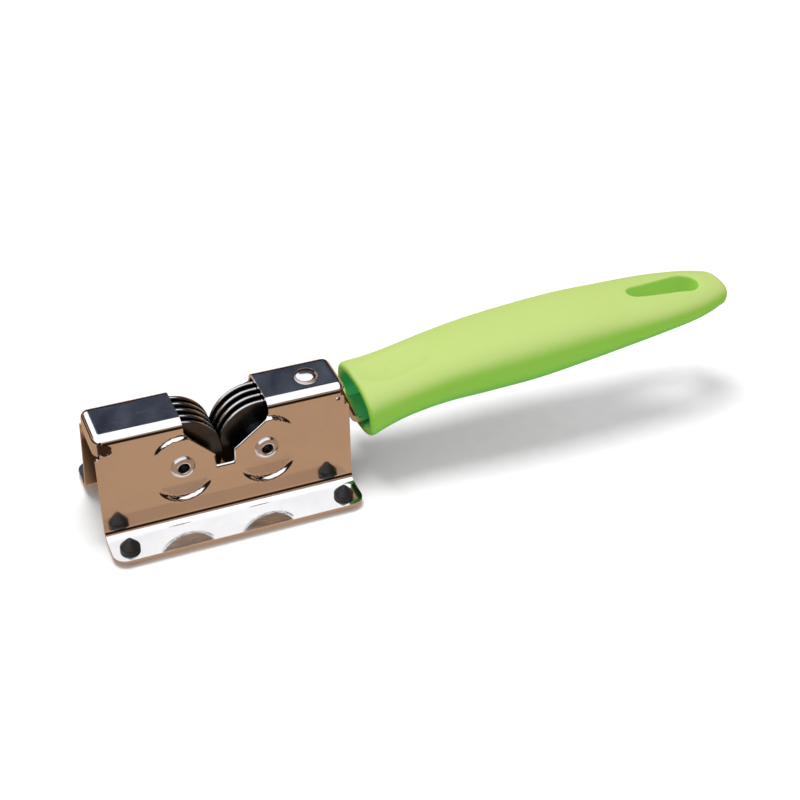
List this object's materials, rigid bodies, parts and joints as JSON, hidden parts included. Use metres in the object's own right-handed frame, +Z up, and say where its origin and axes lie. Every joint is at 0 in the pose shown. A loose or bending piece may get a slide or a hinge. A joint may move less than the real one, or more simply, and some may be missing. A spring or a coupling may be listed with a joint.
{
  "type": "roller knife sharpener",
  "caption": "Hand-held knife sharpener: interleaved stacks of turning steel discs in a folded steel housing on rubber feet, with a moulded handle on a riveted tang.",
  "frame": {"origin": "under the middle of the whole tool, on the surface that its feet stand on", "axes": "+X from the housing's open end to the handle's tip, -Y towards the front wall, +Z up"},
  "size_m": [0.1808, 0.0412, 0.0341],
  "materials": {
    "polished_sheet": "mirror polished",
    "axle_steel": "bright zinc plated, rolled",
    "disc_steel": "hardened, ground rims",
    "spacer_steel": "plain turned",
    "foot_rubber": "soft matt",
    "tang_steel": "bright rolled strip",
    "rivet_steel": "polished dome",
    "handle_plastic": "satin moulded"
  },
  "bodies": {
    "sharpener": {"housing": "polished_sheet", "left_axle": "axle_steel", "right_axle": "axle_steel", "left_spacer_1": "spacer_steel", "left_spacer_2": "spacer_steel", "left_spacer_3": "spacer_steel", "left_spacer_4": "spacer_steel", "left_spacer_5": "spacer_steel", "left_spacer_6": "spacer_steel", "right_spacer_1": "spacer_steel", "right_spacer_2": "spacer_steel", "right_spacer_3": "spacer_steel", "right_spacer_4": "spacer_steel", "right_spacer_5": "spacer_steel", "front_left_foot": "foot_rubber", "front_right_foot": "foot_rubber", "rear_left_foot": "foot_rubber", "rear_right_foot": "foot_rubber", "tang": "tang_steel", "tang_rivet": "rivet_steel", "handle": "handle_plastic"},
    "left_disc_1": {"left_disc_1": "disc_steel"},
    "left_disc_2": {"left_disc_2": "disc_steel"},
    "left_disc_3": {"left_disc_3": "disc_steel"},
    "left_disc_4": {"left_disc_4": "disc_steel"},
    "left_disc_5": {"left_disc_5": "disc_steel"},
    "right_disc_1": {"right_disc_1": "disc_steel"},
    "right_disc_2": {"right_disc_2": "disc_steel"},
    "right_disc_3": {"right_disc_3": "disc_steel"},
    "right_disc_4": {"right_disc_4": "disc_steel"}
  },
  "joints": [
    {"name": "left_disc_1_spin", "type": "hinge", "parent": "sharpener", "child": "left_disc_1", "pos_m": [-0.0694, -0.0054, 0.0173], "axis": [0, 1, 0], "continuous": true},
    {"name": "left_disc_2_spin", "type": "hinge", "parent": "sharpener", "child": "left_disc_2", "pos_m": [-0.0694, -0.0027, 0.0173], "axis": [0, 1, 0], "continuous": true},
    {"name": "left_disc_3_spin", "type": "hinge", "parent": "sharpener", "child": "left_disc_3", "pos_m": [-0.0694, 0, 0.0173], "axis": [0, 1, 0], "continuous": true},
    {"name": "left_disc_4_spin", "type": "hinge", "parent": "sharpener", "child": "left_disc_4", "pos_m": [-0.0694, 0.0027, 0.0173], "axis": [0, 1, 0], "continuous": true},
    {"name": "left_disc_5_spin", "type": "hinge", "parent": "sharpener", "child": "left_disc_5", "pos_m": [-0.0694, 0.0054, 0.0173], "axis": [0, 1, 0], "continuous": true},
    {"name": "right_disc_1_spin", "type": "hinge", "parent": "sharpener", "child": "right_disc_1", "pos_m": [-0.0478, -0.00405, 0.0173], "axis": [0, 1, 0], "continuous": true},
    {"name": "right_disc_2_spin", "type": "hinge", "parent": "sharpener", "child": "right_disc_2", "pos_m": [-0.0478, -0.00135, 0.0173], "axis": [0, 1, 0], "continuous": true},
    {"name": "right_disc_3_spin", "type": "hinge", "parent": "sharpener", "child": "right_disc_3", "pos_m": [-0.0478, 0.00135, 0.0173], "axis": [0, 1, 0], "continuous": true},
    {"name": "right_disc_4_spin", "type": "hinge", "parent": "sharpener", "child": "right_disc_4", "pos_m": [-0.0478, 0.00405, 0.0173], "axis": [0, 1, 0], "continuous": true}
  ]
}
